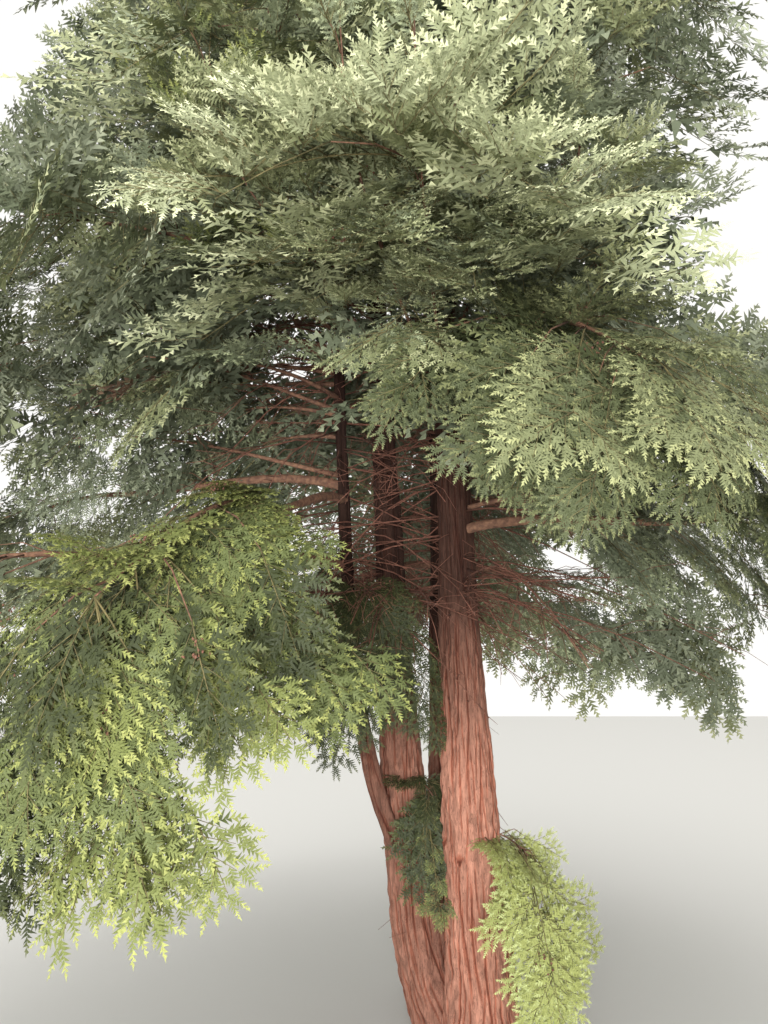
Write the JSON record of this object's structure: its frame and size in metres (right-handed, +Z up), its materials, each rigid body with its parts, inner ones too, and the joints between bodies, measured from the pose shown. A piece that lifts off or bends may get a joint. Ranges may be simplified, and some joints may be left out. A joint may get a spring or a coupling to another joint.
{
  "type": "cedar tree",
  "caption": "Cedar tree that grows as a clump of leaning stems from one root, with bare lower boughs and drooping flat sprays in a conical crown.",
  "frame": {"origin": "centre of the front trunk's flat cut at ground level", "axes": "+Z up the tree, -Y towards the side that the picture is taken from, +X to the right as seen from there"},
  "size_m": [5.7237, 4.9046, 9.9783],
  "materials": {
    "bark": "fibrous red-brown bark in long vertical strips",
    "limb_bark": "thin scaly red-brown bark",
    "foliage": "soft green scale leaves"
  },
  "bodies": {
    "root": {"bough_low_back": "limb_bark", "bough_low_back_left": "limb_bark", "bough_low_back_right": "limb_bark", "bough_low_front_left": "limb_bark", "bough_low_left": "limb_bark", "bough_low_left_front": "limb_bark", "bough_low_right": "limb_bark", "bough_low_right_front": "limb_bark", "bough_mid_back": "limb_bark", "bough_mid_back_left": "limb_bark", "bough_mid_front": "limb_bark", "bough_mid_front_left": "limb_bark", "bough_mid_front_right": "limb_bark", "bough_mid_left": "limb_bark", "bough_mid_right": "limb_bark", "low_spray_between": "foliage", "low_spray_fork": "foliage", "low_spray_right": "foliage", "mass_low_back": "foliage", "mass_low_back_left": "foliage", "mass_low_back_right": "foliage", "mass_low_front_left": "foliage", "mass_low_left": "foliage", "mass_low_left_front": "foliage", "mass_low_right": "foliage", "mass_low_right_front": "foliage", "mass_mid_back": "foliage", "mass_mid_back_left": "foliage", "mass_mid_front": "foliage", "mass_mid_front_left": "foliage", "mass_mid_front_right": "foliage", "mass_mid_left": "foliage", "mass_mid_right": "foliage", "mass_top_back": "foliage", "mass_top_fork": "foliage", "mass_top_front": "foliage", "mass_top_left": "foliage", "mass_upper_1": "foliage", "mass_upper_10": "foliage", "mass_upper_11": "foliage", "mass_upper_12": "foliage", "mass_upper_13": "foliage", "mass_upper_14": "foliage", "mass_upper_15": "foliage", "mass_upper_16": "foliage", "mass_upper_17": "foliage", "mass_upper_18": "foliage", "mass_upper_19": "foliage", "mass_upper_2": "foliage", "mass_upper_3": "foliage", "mass_upper_4": "foliage", "mass_upper_5": "foliage", "mass_upper_6": "foliage", "mass_upper_7": "foliage", "mass_upper_8": "foliage", "mass_upper_9": "foliage", "stem_fork": "bark", "trunk_back": "bark", "trunk_front": "bark", "trunk_left": "bark"}
  },
  "joints": []
}
